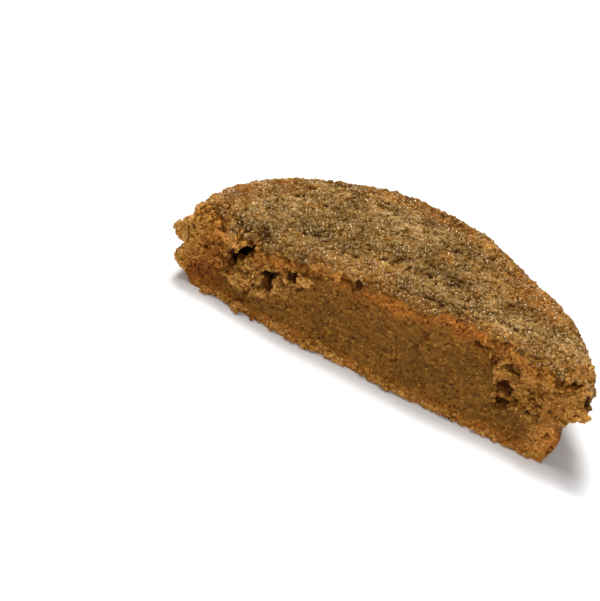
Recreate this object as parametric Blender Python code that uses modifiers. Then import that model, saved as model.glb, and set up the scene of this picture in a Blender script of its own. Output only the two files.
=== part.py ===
"""Half of a round cinnamon cookie that was baked in a small straight-sided tin.

The cookie is one thick piece of dense crumb.  Its foot took the shape of the tin, its rim
rose over the tin's edge and spread into an overhanging lip, and its top carries a lumpy
crust of cinnamon sugar.  It is cut through the middle.  The half lies on its flat base,
with the cut towards -Y and +X along the cut.
"""
import math
import random

import bmesh
import bpy
from mathutils import Matrix, Vector

MM = 0.001

# driving dimensions
BASE_RADIUS = 32.8 * MM       # the flat that the cookie stands on
FOOT_RADIUS = 35.0 * MM       # the fullest part of the foot, which sat in the tin
FOOT_FULLEST = 5.0 * MM       # height at which the foot is widest
NECK_RADIUS = 34.0 * MM       # where the tin's edge pressed in, under the lip
NECK_HEIGHT = 7.6 * MM
LIP_RADIUS = 37.0 * MM        # the part that rose over the tin's edge
LIP_FULLEST = 12.4 * MM       # height at which the lip is widest
SHOULDER = 3.2 * MM           # rounding between the lip and the top
RIM_THICKNESS = 16.4 * MM
MIDDLE_THICKNESS = 17.2 * MM
THICKER_TO_RIGHT = 0.06       # share of the thickness gained from the middle to +X
FLAT_OF_RIM = 0.085           # share of the radius lost where the rim is flattest
FLAT_AT = math.radians(53)
FLAT_SPREAD = math.radians(22)
SAG_OF_RIM = 0.04             # share of the thickness lost there
FULL_OF_RIM = 0.025           # share of the radius gained at the back, where it is fullest
FULL_AT = math.radians(108)
FULL_SPREAD = math.radians(26)
NARROW_OF_RIM = 0.03          # share of the radius lost at the -X end
NARROW_SPREAD = math.radians(14)
CUT_WANDER = 1.3 * MM         # how far the cut strays from straight
CRUST_ROLL = 2.0 * MM         # rounding of the crust over the top edge of the cut
CRUST_ROLL_LEFT = 4.5 * MM    # the same at the -X end
ROLL_GROWS = (-14.0, -28.0)   # x in mm between which the one goes over into the other
BELOW_BASE = 0.6 * MM         # trimmed off flat at the end
BASE_SLACK = 0.05 * MM        # points this near the base are laid on it

# fineness of the solid
TURN_STEPS = 72
KNIFE_CUTS = 40               # cuts along each edge of the block that parts the cookie
GRAIN = 0.85 * MM             # edge of the faces that carry the relief
FACE_LIMIT = 11800
SHARP_FROM = math.radians(50)  # edges sharper than this stay sharp in the shading

# the crumb as seen on the cookie
CRUMB_BROWN = (0.36, 0.19, 0.06, 1.0)
CRUMB_ROUGHNESS = 0.75

# where the crust and the crags are, in mm
CRUST_ABOVE = (6.5, 9.5)        # z between which the bare foot goes over into the crust
FACING_CUT = (0.3, 0.8)         # how far a face turns to -Y where it goes over into the cut's
CRUMB_BEHIND = (5.0, 2.0)       # y between which the relief of the cut begins
CRUMB_ABOVE = (0.6, 2.2)        # z between which it begins above the base
CRAGS_LEFT = (-12.0, -19.0)     # x between which the close crumb goes over into crags
CRAGS_RIGHT = (17.0, 24.0)
CRAGS_ABOVE = (3.0, 7.0)        # z between which the crags begin

# reliefs: name, where, size of a lump and height in mm, how often it is laid over itself finer
RELIEFS = (
    ('swells', 'crust', 7.0, 1.5, 1),
    ('sugar_lumps', 'crust', 2.0, 0.9, 1),
    ('crumb', 'crumb', 2.6, 0.5, 1),
    ('crags', 'crags', 2.8, 2.2, 1),
)

# hollows that open in the cut, in mm: x along the cut, z, half width, half height, depth, and
# lean in degrees
HOLLOWS = (
    (-27.2, 7.9, 1.3, 1.6, 5.0, -35),
    (-26.3, 10.0, 1.6, 2.1, 6.0, -30),
    (-24.7, 11.7, 1.8, 1.2, 5.0, 10),
    (-26.2, 14.4, 1.3, 0.9, 4.0, 20),
    (-20.6, 9.3, 2.1, 1.5, 3.6, 15),
    (-20.4, 7.0, 1.3, 1.6, 3.0, -10),
    (-16.0, 11.0, 1.5, 1.3, 3.0, 0),
    (-5.8, 14.8, 1.5, 0.9, 2.4, -45),
    (23.1, 10.0, 1.9, 1.4, 3.4, -20),
    (24.2, 7.1, 1.5, 1.2, 3.2, 10),
    (18.3, 14.7, 2.0, 0.8, 2.4, 5),
    (21.3, 13.0, 1.5, 0.8, 2.2, 0),
    (28.4, 15.0, 1.8, 1.2, 3.2, 20),
    (31.6, 14.6, 2.4, 1.3, 3.4, 15),
    (29.2, 12.0, 1.4, 1.0, 2.8, -15),
    (29.3, 7.3, 1.7, 0.8, 2.2, -35),
    (32.6, 4.6, 1.0, 0.9, 1.8, 20),
)

# rows of sugared lumps round the lip: height in mm, how many, mm in from the lip's radius
LIP_ROWS = (
    (9.4, 30, 1.0),
    (12.2, 27, 0.0),
    (14.8, 24, 0.8),
)
LIP_LUMP_RADII = (0.9, 1.8)     # smallest and largest radius of such a lump, in mm
LIP_LUMP_FLATTEST = 0.7         # least height of a lump as a share of its width
LIP_LUMP_SUNK = 0.25            # share of its radius by which it is let into the lip
LIP_STRAY_ALONG = 0.35          # how far it strays along the row, as a share of the spacing
LIP_STRAY_UP = 0.8              # how far it strays up or down, in mm

# larger lumps near the two ends of the rim: degrees from +X, radius, height and size in mm
LUMPS_AT_ENDS = (
    (2.5, 36.4, 16.0, 1.6),
    (5.5, 36.2, 13.4, 1.7),
    (1.5, 35.7, 11.2, 1.3),
    (13.0, 35.4, 16.8, 1.6),
    (3.0, 35.0, 9.4, 1.0),
    (178.0, 36.9, 10.2, 1.5),
    (175.5, 36.2, 12.4, 1.4),
    (177.5, 36.6, 7.4, 1.5),
    (174.0, 36.6, 5.2, 1.5),
    (177.5, 35.8, 3.2, 1.5),
    (170.0, 36.2, 8.0, 1.6),
    (166.0, 35.9, 5.6, 1.4),
    (161.0, 35.8, 7.6, 1.3),
)

# lumps of crumb that stand out of the cut and hang at its lower edge: x, z and radius in mm
LUMPS_ON_CUT = (
    (-23.4, 1.6, 1.5),
    (5.2, 1.4, 1.6),
    (13.9, 1.0, 0.9),
    (25.4, 1.0, 0.9),
    (-24.0, 8.6, 1.9),
    (-22.2, 10.6, 1.5),
    (-18.0, 8.4, 1.7),
    (-17.6, 12.6, 1.6),
    (-14.2, 9.4, 1.4),
    (-23.4, 13.8, 1.5),
    (-29.6, 11.6, 1.8),
    (20.6, 10.8, 1.3),
    (25.6, 9.6, 1.5),
    (25.4, 12.4, 1.6),
    (28.4, 9.8, 1.6),
    (31.6, 10.8, 1.7),
    (33.6, 12.6, 1.5),
    (30.6, 8.6, 1.2),
    (27.0, 14.2, 1.2),
)
CUT_LUMP_SUNK = 0.35            # share of its radius by which such a lump is let into the cut
CUT_LUMP_FLATNESS = 0.85        # its height as a share of its width
LUMP_LEAN = 30                  # degrees by which a lump leans at most
ROUGH_HOLLOW = 0.16             # share of the radius by which points of hollows and lumps stray
ROUGH_LUMP = 0.14
HOLLOW_SEED = 11
LUMP_SEED = 23


def smooth_share(low, high, value):
    """0 below low, 1 above high, and an even S between them."""
    share = min(1.0, max(0.0, (value - low) / (high - low)))
    return share * share * (3.0 - 2.0 * share)


def bump(value, middle, spread):
    """A rounded bump: 1 at the middle, falling to nothing two spreads away."""
    return math.exp(-((value - middle) / spread) ** 2)


def new_collection(name):
    """An empty collection under the scene."""
    made = bpy.data.collections.new(name)
    bpy.context.scene.collection.children.link(made)
    return made


def mesh_object(name, bm, collection):
    """Puts a bmesh into a new object of the collection and frees it."""
    mesh = bpy.data.meshes.new(name)
    bm.to_mesh(mesh)
    bm.free()
    made = bpy.data.objects.new(name, mesh)
    collection.objects.link(made)
    return made


def settle(body):
    """Applies the modifiers of the body, so that its mesh is what the viewport shows."""
    seen = body.evaluated_get(bpy.context.evaluated_depsgraph_get())
    settled = bpy.data.meshes.new_from_object(seen)
    old = body.data
    body.modifiers.clear()
    body.data = settled
    bpy.data.meshes.remove(old)


def as_cutter(cutter):
    """Marks an object as a tool of the modelling and not a part."""
    cutter.hide_render = True
    cutter.display_type = 'WIRE'


def remove_all(collection):
    """Removes the objects of a collection once they have been used."""
    for used in list(collection.objects):
        bpy.data.objects.remove(used)


def outer_profile():
    """(radius, height) down the outer side: top, shoulder, lip, neck, foot, base."""
    top_radius = LIP_RADIUS - SHOULDER
    points = []
    for step in range(9):
        share = step / 8
        rise = (MIDDLE_THICKNESS - RIM_THICKNESS) * (1 - share ** 2)
        points.append((top_radius * share, RIM_THICKNESS + rise))
    for step in range(1, 7):
        turn = math.radians(90 * (1 - step / 6))
        drop = (RIM_THICKNESS - LIP_FULLEST) * math.sin(turn)
        points.append((top_radius + SHOULDER * math.cos(turn), LIP_FULLEST + drop))
    for step in range(1, 6):
        turn = math.radians(90 * step / 5)
        drop = (LIP_FULLEST - NECK_HEIGHT) * math.sin(turn)
        points.append((NECK_RADIUS + (LIP_RADIUS - NECK_RADIUS) * math.cos(turn), LIP_FULLEST - drop))
    for step in range(1, 4):
        swell = math.sin(math.radians(90 * step / 3))
        height = NECK_HEIGHT - (NECK_HEIGHT - FOOT_FULLEST) * step / 3
        points.append((NECK_RADIUS + (FOOT_RADIUS - NECK_RADIUS) * swell, height))
    for step in range(1, 7):
        turn = math.radians(90 * step / 6)
        out = (FOOT_RADIUS - BASE_RADIUS) * math.cos(turn)
        points.append((BASE_RADIUS + out, FOOT_FULLEST * (1 - math.sin(turn))))
    points.append((BASE_RADIUS - FOOT_FULLEST / 4, -BELOW_BASE))
    points.append((0.0, -BELOW_BASE))
    return points


def turned_body(collection):
    """The whole round cookie, turned from its profile."""
    bm = bmesh.new()
    rim = [bm.verts.new((radius, 0.0, height)) for radius, height in outer_profile()]
    for above, below in zip(rim, rim[1:]):
        bm.edges.new((above, below))
    body = mesh_object('cookie_half', bm, collection)
    turn = body.modifiers.new('turn', 'SCREW')
    turn.steps = TURN_STEPS
    turn.render_steps = TURN_STEPS
    turn.use_merge_vertices = True
    turn.merge_threshold = 0.01 * MM
    settle(body)
    return body


def cut_line(x, z):
    """How far behind the straight line the cut lies: bowed out in the middle, in at the left."""
    along = x / FOOT_RADIUS
    bow = -0.6 * CUT_WANDER * bump(along, 0.22, 0.22)
    left_end = 1.1 * CUT_WANDER / (1 + math.exp((along + 0.70) / 0.06))
    ripple = 0.15 * CUT_WANDER * math.sin(7.0 * along + 0.3 * z / MM)
    return bow + left_end + ripple


def cut_in_half(body, cutters):
    """Takes the front half away with a block whose back face wanders as the knife did."""
    bm = bmesh.new()
    bmesh.ops.create_cube(bm, size=1.0)
    reach = 2.4 * LIP_RADIUS
    bmesh.ops.scale(bm, vec=(reach, reach, reach), verts=bm.verts)
    bmesh.ops.translate(bm, vec=(0.0, -reach / 2, 0.0), verts=bm.verts)
    bmesh.ops.subdivide_edges(bm, edges=bm.edges, cuts=KNIFE_CUTS, use_grid_fill=True)
    for vert in bm.verts:
        on_back_face = vert.co.y > -0.01 * MM
        if on_back_face:
            vert.co.y += cut_line(vert.co.x, vert.co.z)
    block = mesh_object('knife', bm, cutters)
    as_cutter(block)
    cut = body.modifiers.new('cut', 'BOOLEAN')
    cut.object = block
    settle(body)
    remove_all(cutters)


def ragged_ball(bm, centre, radii, lean, rough, draw):
    """A small icosphere, squashed to its radii, leant about Y, with its points strayed."""
    made = bmesh.ops.create_icosphere(bm, subdivisions=2, radius=1.0)
    turn = Matrix.Rotation(math.radians(lean), 4, 'Y')
    for vert in made['verts']:
        vert.co *= 1.0 + draw.uniform(-rough, rough)
        squashed = Vector((vert.co.x * radii[0], vert.co.y * radii[1], vert.co.z * radii[2]))
        vert.co = Vector(centre) + turn @ squashed


def dig_hollows(body, cutters):
    """Opens the hollows that show in the cut, each one a ragged ball let into the face."""
    draw = random.Random(HOLLOW_SEED)
    for number, (x, z, half_width, half_height, depth, lean) in enumerate(HOLLOWS):
        bm = bmesh.new()
        face = cut_line(x * MM, z * MM)
        centre = (x * MM, face + 0.1 * MM, z * MM)
        radii = (half_width * MM, depth * MM, half_height * MM)
        ragged_ball(bm, centre, radii, lean, ROUGH_HOLLOW, draw)
        as_cutter(mesh_object('hollow_%d' % number, bm, cutters))
    dig = body.modifiers.new('dig', 'BOOLEAN')
    dig.operand_type = 'COLLECTION'
    dig.collection = cutters
    settle(body)
    remove_all(cutters)


def rim_share(turn):
    """Share of the full radius at an angle from +X: flat at the back right, full at the back."""
    flat = FLAT_OF_RIM * bump(turn, FLAT_AT, FLAT_SPREAD)
    full = FULL_OF_RIM * bump(turn, FULL_AT, FULL_SPREAD)
    narrow = NARROW_OF_RIM * bump(turn, math.pi, NARROW_SPREAD)
    return 1.0 - flat + full - narrow


def shape_outline(body):
    """Gives the rim its uneven outline and makes the +X side the thicker one."""
    for vert in body.data.vertices:
        x, y, z = vert.co
        turn = math.atan2(y, x)
        outward = smooth_share(0.3, 1.0, math.hypot(x, y) / LIP_RADIUS)
        upward = smooth_share(NECK_HEIGHT / 2, LIP_FULLEST, z)
        share = 1.0 + (rim_share(turn) - 1.0) * outward * (0.5 + 0.5 * upward)
        thick = 1.0
        if z > 0:
            sag = SAG_OF_RIM * bump(turn, FLAT_AT, FLAT_SPREAD) * outward
            thick += THICKER_TO_RIGHT * x / LIP_RADIUS - sag
        vert.co = Vector((x * share, y * share, z * thick))


def lip_lumps(draw):
    """Places of the sugared lumps round the lip: (centre, radii), drawn row by row."""
    places = []
    for height, count, inset in LIP_ROWS:
        for number in range(count):
            along = number + 0.5 + draw.uniform(-LIP_STRAY_ALONG, LIP_STRAY_ALONG)
            turn = math.pi * along / count
            size = draw.uniform(*LIP_LUMP_RADII) * MM
            out = LIP_RADIUS * rim_share(turn) - LIP_LUMP_SUNK * size - inset * MM
            z = height * MM + draw.uniform(-LIP_STRAY_UP, LIP_STRAY_UP) * MM
            centre = (out * math.cos(turn), out * math.sin(turn), z)
            places.append((centre, (size, size, size * draw.uniform(LIP_LUMP_FLATTEST, 1.0))))
    for degrees, out, height, size in LUMPS_AT_ENDS:
        turn = math.radians(degrees)
        centre = (out * MM * math.cos(turn), out * MM * math.sin(turn), height * MM)
        places.append((centre, (size * MM, size * MM, size * MM)))
    return places


def cut_lumps():
    """Places of the lumps on the cut: (centre, radii)."""
    places = []
    for x, z, radius in LUMPS_ON_CUT:
        face = cut_line(x * MM, z * MM)
        centre = (x * MM, face + CUT_LUMP_SUNK * radius * MM, z * MM)
        places.append((centre, (radius * MM, radius * MM, CUT_LUMP_FLATNESS * radius * MM)))
    return places


def fuse_lumps(body, lumps):
    """Fuses the lumps of the lip and of the cut to the body in one union."""
    draw = random.Random(LUMP_SEED)
    for number, (centre, radii) in enumerate(lip_lumps(draw) + cut_lumps()):
        bm = bmesh.new()
        ragged_ball(bm, centre, radii, draw.uniform(-LUMP_LEAN, LUMP_LEAN), ROUGH_LUMP, draw)
        mesh_object('lump_%d' % number, bm, lumps)
    fuse = body.modifiers.new('fuse', 'BOOLEAN')
    fuse.operation = 'UNION'
    fuse.operand_type = 'COLLECTION'
    fuse.collection = lumps
    settle(body)
    remove_all(lumps)


def even_faces(body):
    """Gives the body faces of one size, small enough to carry the relief."""
    even = body.modifiers.new('even', 'REMESH')
    even.mode = 'VOXEL'
    even.voxel_size = GRAIN
    settle(body)


def roll_crust(body):
    """Rounds the top edge of the cut, where the crust rolls over it, more so at the -X end.

    Each point sinks by what a quarter circle falls short of its corner, and less lower down.
    """
    for vert in body.data.vertices:
        x, y, z = vert.co
        at_left = smooth_share(*ROLL_GROWS, x / MM)
        roll = CRUST_ROLL + (CRUST_ROLL_LEFT - CRUST_ROLL) * at_left
        behind = max(0.0, y - cut_line(x, z))
        if behind < roll:
            drop = roll * (1.0 - math.sqrt(1.0 - (1.0 - behind / roll) ** 2))
            vert.co.z -= drop * smooth_share(NECK_HEIGHT, RIM_THICKNESS, z)


def relief_weights(body):
    """Groups that say how strongly each point takes the crust's, crumb's and crags' relief."""
    groups = {name: body.vertex_groups.new(name=name) for name in ('crust', 'crumb', 'crags')}
    for vert in body.data.vertices:
        x, y, z = (value / MM for value in vert.co)
        facing_cut = smooth_share(*FACING_CUT, -vert.normal.y) * smooth_share(*CRUMB_BEHIND, y)
        on_cut = facing_cut * smooth_share(*CRUMB_ABOVE, z)
        at_ends = max(smooth_share(*CRAGS_LEFT, x), smooth_share(*CRAGS_RIGHT, x))
        weights = {
            'crust': smooth_share(*CRUST_ABOVE, z) * (1.0 - facing_cut),
            'crumb': on_cut,
            'crags': on_cut * at_ends * smooth_share(*CRAGS_ABOVE, z),
        }
        for name, weight in weights.items():
            if weight > 0.0:
                groups[name].add([vert.index], weight, 'REPLACE')


def add_reliefs(body):
    """Displaces the points of each group along their normals by its cloud patterns."""
    for name, group, size, height, depth in RELIEFS:
        pattern = bpy.data.textures.new(name, 'CLOUDS')
        pattern.noise_scale = size * MM
        pattern.noise_depth = depth
        relief = body.modifiers.new(name, 'DISPLACE')
        relief.texture = pattern
        relief.texture_coords = 'LOCAL'
        relief.vertex_group = group
        relief.strength = height * MM
        relief.mid_level = 0.5
    settle(body)


def trim_base(body, cutters):
    """Cuts the base off flat at the level that the cookie stands on."""
    bm = bmesh.new()
    bmesh.ops.create_cube(bm, size=1.0)
    reach = 3.0 * LIP_RADIUS
    bmesh.ops.scale(bm, vec=(reach, reach, reach), verts=bm.verts)
    bmesh.ops.translate(bm, vec=(0.0, 0.0, -reach / 2), verts=bm.verts)
    board = mesh_object('board', bm, cutters)
    as_cutter(board)
    trim = body.modifiers.new('trim', 'BOOLEAN')
    trim.object = board
    settle(body)
    remove_all(cutters)


def keep_largest_shell(bm):
    """Deletes all but the shell with the most faces."""
    left = set(bm.faces)
    shells = []
    while left:
        shell = set()
        front = [left.pop()]
        while front:
            face = front.pop()
            shell.add(face)
            near = {other for edge in face.edges for other in edge.link_faces}
            fresh = near & left
            left -= fresh
            front.extend(fresh)
        shells.append(shell)
    shells.sort(key=len)
    scraps = [face for shell in shells[:-1] for face in shell]
    bmesh.ops.delete(bm, geom=scraps, context='FACES')
    loose = [vert for vert in bm.verts if not vert.link_faces]
    bmesh.ops.delete(bm, geom=loose, context='VERTS')


def thin_faces(body):
    """Drops loose scraps and thins the faces to the limit, with the base kept flat."""
    bm = bmesh.new()
    bm.from_mesh(body.data)
    keep_largest_shell(bm)
    bmesh.ops.triangulate(bm, faces=bm.faces)
    faces = len(bm.faces)
    bm.to_mesh(body.data)
    bm.free()
    if faces > FACE_LIMIT:
        thin = body.modifiers.new('thin', 'DECIMATE')
        thin.ratio = FACE_LIMIT / faces
        thin.use_collapse_triangulate = True
        settle(body)
    for vert in body.data.vertices:
        if vert.co.z < BASE_SLACK:
            vert.co.z = 0.0


def stand_on_origin(body):
    """Puts the middle of the half's footprint box on the origin."""
    lows = [min(vert.co[axis] for vert in body.data.vertices) for axis in range(2)]
    highs = [max(vert.co[axis] for vert in body.data.vertices) for axis in range(2)]
    middle = Vector(((lows[0] + highs[0]) / 2, (lows[1] + highs[1]) / 2, 0.0))
    body.data.transform(Matrix.Translation(-middle))


def shade(body):
    """Shades the body smooth, with its sharp edges kept."""
    body.data.shade_smooth()
    body.data.set_sharp_from_angle(angle=SHARP_FROM)


def crumb_material():
    """Dense baked crumb, dull and without any metal."""
    made = bpy.data.materials.new('baked_crumb')
    made.use_nodes = True
    shader = made.node_tree.nodes['Principled BSDF']
    shader.inputs['Base Color'].default_value = CRUMB_BROWN
    shader.inputs['Roughness'].default_value = CRUMB_ROUGHNESS
    shader.inputs['Metallic'].default_value = 0.0
    return made


for old in list(bpy.data.objects):
    bpy.data.objects.remove(old)

cookie = new_collection('cinnamon_cookie')
tools = new_collection('modelling_tools')

half = turned_body(cookie)
cut_in_half(half, tools)
shape_outline(half)
dig_hollows(half, tools)
fuse_lumps(half, tools)
even_faces(half)
roll_crust(half)
relief_weights(half)
add_reliefs(half)
trim_base(half, tools)
thin_faces(half)
stand_on_origin(half)
shade(half)
half.data.materials.clear()
half.data.materials.append(crumb_material())
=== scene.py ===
"""Looks of a half cinnamon cookie: dense crumb, torn crags, a sugared crust and a browned foot."""
import math

import bpy
import numpy as np
from mathutils import Matrix, Vector


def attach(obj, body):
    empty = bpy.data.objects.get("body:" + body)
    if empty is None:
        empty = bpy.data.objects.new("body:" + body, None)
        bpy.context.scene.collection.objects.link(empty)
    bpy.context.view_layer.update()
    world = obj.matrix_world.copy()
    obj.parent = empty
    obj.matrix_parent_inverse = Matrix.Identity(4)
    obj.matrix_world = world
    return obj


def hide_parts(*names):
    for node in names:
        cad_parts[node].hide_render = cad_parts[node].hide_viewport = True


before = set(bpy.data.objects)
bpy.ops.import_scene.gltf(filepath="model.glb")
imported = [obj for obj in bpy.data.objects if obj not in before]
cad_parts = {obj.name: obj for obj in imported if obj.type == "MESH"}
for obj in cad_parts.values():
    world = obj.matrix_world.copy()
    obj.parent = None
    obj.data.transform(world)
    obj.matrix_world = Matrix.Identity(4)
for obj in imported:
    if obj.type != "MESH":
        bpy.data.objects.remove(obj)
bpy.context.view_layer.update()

# ---------------------------------------------------------------------------------------
# The baked half: one piece of dense dough, baked in a small tin.  Its foot took the tin's
# shape, its rim rose over the edge and spread, and a knife and then a pull parted it, so the
# middle of the cut is close and smooth and its two ends are torn into crags.
# ---------------------------------------------------------------------------------------
MM = 0.001
AXIS = (0.279, -18.254)          # the turning axis, from the middle of the footprint, in mm

BASE_RADIUS = 32.8               # all lengths in mm
FOOT_RADIUS = 35.0
FOOT_FULLEST = 5.0
NECK_RADIUS = 34.0
NECK_HEIGHT = 7.6
LIP_RADIUS = 37.0
LIP_FULLEST = 12.4
SHOULDER = 3.2
RIM_THICKNESS = 16.4
MIDDLE_THICKNESS = 17.2
THICKER_TO_RIGHT = 0.06
FLAT_OF_RIM, FLAT_AT, FLAT_SPREAD = 0.085, math.radians(53), math.radians(22)
FULL_OF_RIM, FULL_AT, FULL_SPREAD = 0.025, math.radians(108), math.radians(26)
NARROW_OF_RIM, NARROW_SPREAD = 0.03, math.radians(14)
DENT, DENT_AT, DENT_SPREAD = 1.3, math.radians(22), math.radians(14)   # the lip stands back here
SAG_OF_RIM = 0.04
CUT_WANDER = 1.3
CRUST_ROLL = 2.0
CRUST_ROLL_LEFT = 4.5
MIDDLE_OF_TOP = (0.0, 15.0)      # where the rings of the top and of the base close
OVERFLOW = 2.2                   # how far the lip hangs out over the foot at the left end

# height of the sugared crust's lower edge along the cut, as x and height
CRUST_EDGE = ((-34, 16.6), (-31, 15.6), (-28.5, 13.6), (-25.4, 14.2), (-22, 13.2), (-18, 14.6),
              (-14, 15.9), (-11, 16.9), (-6, 15.7), (-1, 15.9), (5.6, 16.3), (10, 18.0),
              (13, 17.8), (18.5, 18.1), (21, 18.2), (25, 16.6), (29, 17.0), (33, 17.4),
              (36, 17.0), (38, 11.0))
CRUST_TILT = 0.61                # how much lower the edge runs for each mm further back

# height above which the cut is torn, along x
TORN_FLOOR = ((-38, 1.0), (-34.4, 1.6), (-33.6, 4.5), (-30.3, 5.6), (-25.4, 3.4), (-19.9, 4.1),
              (-15.4, 6.5), (-13.5, 9.3), (-12, 12.5), (-9, 13.8), (-6, 13.5), (-4.5, 15.4), (-2, 22),
              (15, 22), (17, 15.5), (20, 12), (21.5, 8),
              (23, 5.8), (29, 6.3), (31, 7), (33, 7.6), (38, 8.2))

# the crust seen from above: where it browned, where its sugar lies thick and pale and where it
# soaked dark, as x, y, radius and how much
BROWNED_PATCHES = ((-27, 21, 4.5, 0.8), (0, 33, 4.5, 0.7), (20, 20, 8.5, 0.85), (-4, 3.5, 4.5, 0.7),
                   (-34, 8, 4.0, 0.9), (34, 2, 2.5, 0.4), (5, 19, 1.8, 0.7), (26, 15, 4.0, 0.6))
PALE_PATCHES = ((-12, 27, 3.5, 0.9), (-5, 23, 4.5, 0.6), (-24, 12, 4.5, 0.5), (21, 5, 3.0, 0.8),
                (-9, 1, 2.5, 0.6), (8, 29, 2.5, 0.5), (-18, 20, 5.0, 0.4), (31, 7, 5.0, 1.1))
DARK_PATCHES = ((-16, 7, 2.6, 0.7), (7, 12, 5.0, 0.7), (-18.5, 1, 2.2, 0.5), (11, 1, 2.5, 0.6),
                (-1, 14, 4.0, 0.3), (-9, 10, 3.0, 0.3), (17, 13, 4.0, 0.3))

# hollows torn into the cut: x along it, z, half length, half width, depth, lean in degrees
HOLLOWS = (
    (-26.4, 9.7, 2.9, 1.05, 5.2, 55), (-27.4, 7.3, 1.3, 0.8, 4.6, 70),
    (-25.0, 11.3, 1.3, 0.9, 4.6, 20), (-28.7, 9.0, 1.8, 1.5, 1.5, 40),
    (-26.7, 13.7, 1.5, 0.5, 2.4, 60), (-30.7, 12.4, 1.0, 0.7, 2.0, 0),
    (-24.5, 12.8, 1.2, 0.5, 2.4, -40), (-20.4, 8.9, 1.9, 1.1, 3.0, 15),
    (-19.8, 7.2, 1.1, 1.3, 2.8, 0), (-18.7, 9.9, 1.2, 0.6, 2.4, 10),
    (-16.2, 10.9, 1.3, 1.1, 3.2, 0), (-17.1, 8.3, 0.7, 0.5, 2.0, 0),
    (-18.3, 11.4, 1.0, 0.4, 1.8, 10), (-5.7, 14.9, 0.9, 1.1, 2.4, -45),
    (23.4, 9.9, 1.6, 1.2, 3.0, -20), (23.8, 6.9, 1.5, 0.9, 2.6, 10),
    (25.4, 8.2, 0.8, 0.5, 1.6, 0), (17.8, 15.0, 1.9, 0.6, 1.5, 5),
    (21.8, 13.1, 1.7, 0.6, 1.5, 0), (27.3, 15.0, 0.9, 0.6, 1.4, 35),
    (31.1, 15.4, 1.3, 0.6, 1.6, 70), (33.2, 15.9, 1.4, 0.7, 1.6, 30),
    (31.6, 13.4, 1.6, 0.5, 1.2, 10), (28.9, 12.0, 1.3, 0.7, 1.5, -15),
    (29.0, 7.6, 1.7, 0.5, 1.4, -35), (32.6, 5.0, 0.7, 0.6, 1.0, 20),
)

ROUND_COLUMNS = 230              # faces round the rim, and along the cut
CUT_COLUMNS = 400
BASE_ROWS = 8                    # faces across the base, up the wall, over the edge, across the top
WALL_ROWS = 76
ROLL_ROWS = 14
TOP_ROWS = 16
FOOT_SHARE, NECK_SHARE = 0.32, 0.52   # shares of the way up the wall
END_BLEND = 7.0                  # how far in from its ends the cut takes on the rim's heights
TOP_BEHIND_CUT = 2.0             # where behind the cut its top is measured
HOLLOWS_END = 9.0                # how far behind the cut the hollows end
UNDER_CRAGS = 2.2                # how far the half's smooth skin lies back under crags and crust
UNDER_CRUST = 2.0
SEED_STRAY = 0.7                 # how much of its cell a clump's seed may stray over


def smooth(low, high, value):
    """An even S, 0 at low and 1 at high: 3 s s - 2 s s s of the share s between them."""
    share = np.clip((value - low) / (high - low), 0.0, 1.0)
    return share * share * (3.0 - 2.0 * share)


def bump(value, middle, spread):
    """A rounded bump: e to the minus square of the distance from the middle, in spreads."""
    return np.exp(-((value - middle) / spread) ** 2)


def scramble(cells, salt):
    """A fixed number from 0 to 1 for each whole-number cell: primes times its places, mixed."""
    x, y, z = (cells[..., axis].astype(np.int64).astype(np.uint32) for axis in range(3))
    mixed = x * np.uint32(73856093) ^ y * np.uint32(19349663) ^ z * np.uint32(83492791)
    mixed = mixed ^ np.uint32(salt * 40503 + 977)
    for shift, prime in ((15, 2246822519), (13, 3266489917)):
        mixed = (mixed ^ (mixed >> np.uint32(shift))) * np.uint32(prime)
    mixed = mixed ^ (mixed >> np.uint32(16))
    return (mixed & np.uint32(0xFFFFFF)) / float(0xFFFFFF)


def clouds(points, size, salt, octaves=2):
    """Soft noise from -1 to 1: cell corners' numbers blended by an even S, octave by octave."""
    total, weight, reach = 0.0, 1.0, 0.0
    for octave in range(octaves):
        spot = points * (2.0 ** octave / size) + 31.7 * octave
        corner = np.floor(spot)
        share = smooth(0.0, 1.0, spot - corner)
        value = 0.0
        for step in np.ndindex(2, 2, 2):
            step = np.array(step)
            part = np.prod(np.where(step, share, 1.0 - share), axis=-1)
            value = value + part * scramble(corner + step, salt + 17 * octave)
        total = total + weight * (2.0 * value - 1.0)
        reach += weight
        weight *= 0.5
    return total / reach


def strays(points, size, salt):
    """Noise in each of the three directions, to bend a pattern by."""
    return np.stack([clouds(points, size, salt + shift, 3) for shift in (0, 7, 13)], axis=-1)


def clumps(points, size, salt):
    """Distance to the nearest of seeds strewn one to a cell, in cells, and that seed's number."""
    spot = points / size
    corner = np.floor(spot - 0.5)
    nearest = np.full(spot.shape[:-1], np.inf)
    own = np.zeros_like(nearest)
    for step in np.ndindex(2, 2, 2):
        cell = corner + np.array(step)
        stray = np.stack([scramble(cell, salt + axis) for axis in range(3)], axis=-1) - 0.5
        away = np.sum((cell + 0.5 + SEED_STRAY * stray - spot) ** 2, axis=-1)
        own = np.where(away < nearest, scramble(cell, salt + 3), own)
        nearest = np.minimum(nearest, away)
    return np.sqrt(nearest), own


def rim_share(turn):
    """Share of the full radius at an angle: flat at the back right, full behind, narrow left."""
    flat = FLAT_OF_RIM * bump(turn, FLAT_AT, FLAT_SPREAD)
    full = FULL_OF_RIM * bump(turn, FULL_AT, FULL_SPREAD)
    return 1.0 - flat + full - NARROW_OF_RIM * bump(turn, math.pi, NARROW_SPREAD)


def cut_line(x, z):
    """How far back the cut lies: a bow at the middle, a step back at the left, a fine ripple."""
    along = x / FOOT_RADIUS
    bow = -0.6 * CUT_WANDER * bump(along, 0.22, 0.22)
    left_end = 1.1 * CUT_WANDER / (1.0 + np.exp((along + 0.70) / 0.06))
    return bow + left_end + 0.15 * CUT_WANDER * np.sin(7.0 * along + 0.3 * z)


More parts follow.
